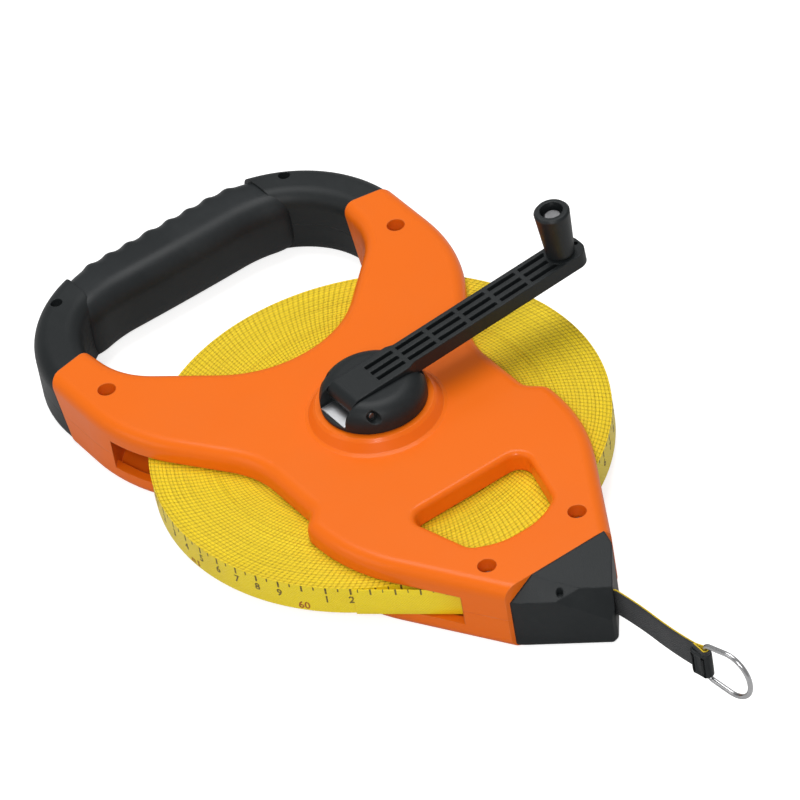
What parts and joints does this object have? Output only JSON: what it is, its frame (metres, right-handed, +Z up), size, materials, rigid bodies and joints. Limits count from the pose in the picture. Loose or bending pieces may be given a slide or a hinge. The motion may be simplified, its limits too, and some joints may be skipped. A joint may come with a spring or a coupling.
{
  "type": "surveyor tape reel",
  "caption": "Open-frame long tape reel with U handle, folding crank, wound tape, tape mouth, leader strap and wire end ring.",
  "frame": {"origin": "on the drum's axis, in the flat underside that the reel lies on", "axes": "+X along the reel towards the tape mouth, +Y the way the crank arm points at rest, +Z up along the drum's axis"},
  "size_m": [0.3818, 0.2004, 0.0796],
  "materials": {
    "orange_shell": "semi-gloss moulded",
    "black_plastic": "fine texture",
    "soft_grip": "satin overmould",
    "knob_plastic": "fine texture",
    "yellow_tape": "coated fibreglass",
    "leader_strap": "woven, coated",
    "drum_plastic": "moulded",
    "bush_plastic": "machined acetal",
    "axle_steel": "turned",
    "screw_steel": "plated",
    "spring_steel": "bright strip",
    "ring_wire": "bright wire"
  },
  "bodies": {
    "frame": {"upper_shell": "orange_shell", "lower_shell": "orange_shell", "frame_screws": "screw_steel", "handle_upper": "black_plastic", "handle_lower": "black_plastic", "handle_screws": "screw_steel", "grip_sleeve": "soft_grip", "mouth_guard": "black_plastic", "mouth_pin": "black_plastic", "upper_bush": "bush_plastic", "lower_bush": "bush_plastic", "back_cap": "black_plastic", "tape_run": "yellow_tape"},
    "reel": {"reel_drum": "drum_plastic", "tape_anchor_pin": "screw_steel", "tape_roll": "yellow_tape", "drum_axle": "axle_steel", "axle_washer": "axle_steel", "axle_screw": "screw_steel", "friction_washer": "bush_plastic", "crank_hub": "black_plastic", "detent_spring": "spring_steel", "hinge_pin": "axle_steel"},
    "crank": {"crank_arm": "black_plastic", "knob_pin": "axle_steel"},
    "knob": {"crank_knob": "knob_plastic"},
    "leader": {"tape_leader": "leader_strap", "end_clasp": "black_plastic", "clasp_rivet": "screw_steel"},
    "ring": {"end_ring": "ring_wire"}
  },
  "joints": [
    {"name": "reel_spin", "type": "hinge", "parent": "frame", "child": "reel", "pos_m": [0, 0, 0.016], "axis": [0, 0, 1], "continuous": true},
    {"name": "crank_fold", "type": "hinge", "parent": "reel", "child": "crank", "pos_m": [0, -0.011, 0.045], "axis": [1, 0, 0], "range_deg": [0, 176.7]},
    {"name": "knob_spin", "type": "hinge", "parent": "crank", "child": "knob", "pos_m": [0, 0.0961, 0.0638], "axis": [0, -0.0576, 0.9983], "continuous": true},
    {"name": "leader_swing", "type": "hinge", "parent": "frame", "child": "leader", "pos_m": [0.14123, 0.0104, 0.016], "axis": [0, 0, 1], "range_deg": [-12, 38]},
    {"name": "ring_swing", "type": "hinge", "parent": "leader", "child": "ring", "pos_m": [0.19183, 0.0163, 0.016], "axis": [0, 0, 1], "range_deg": [-75, 75]}
  ]
}
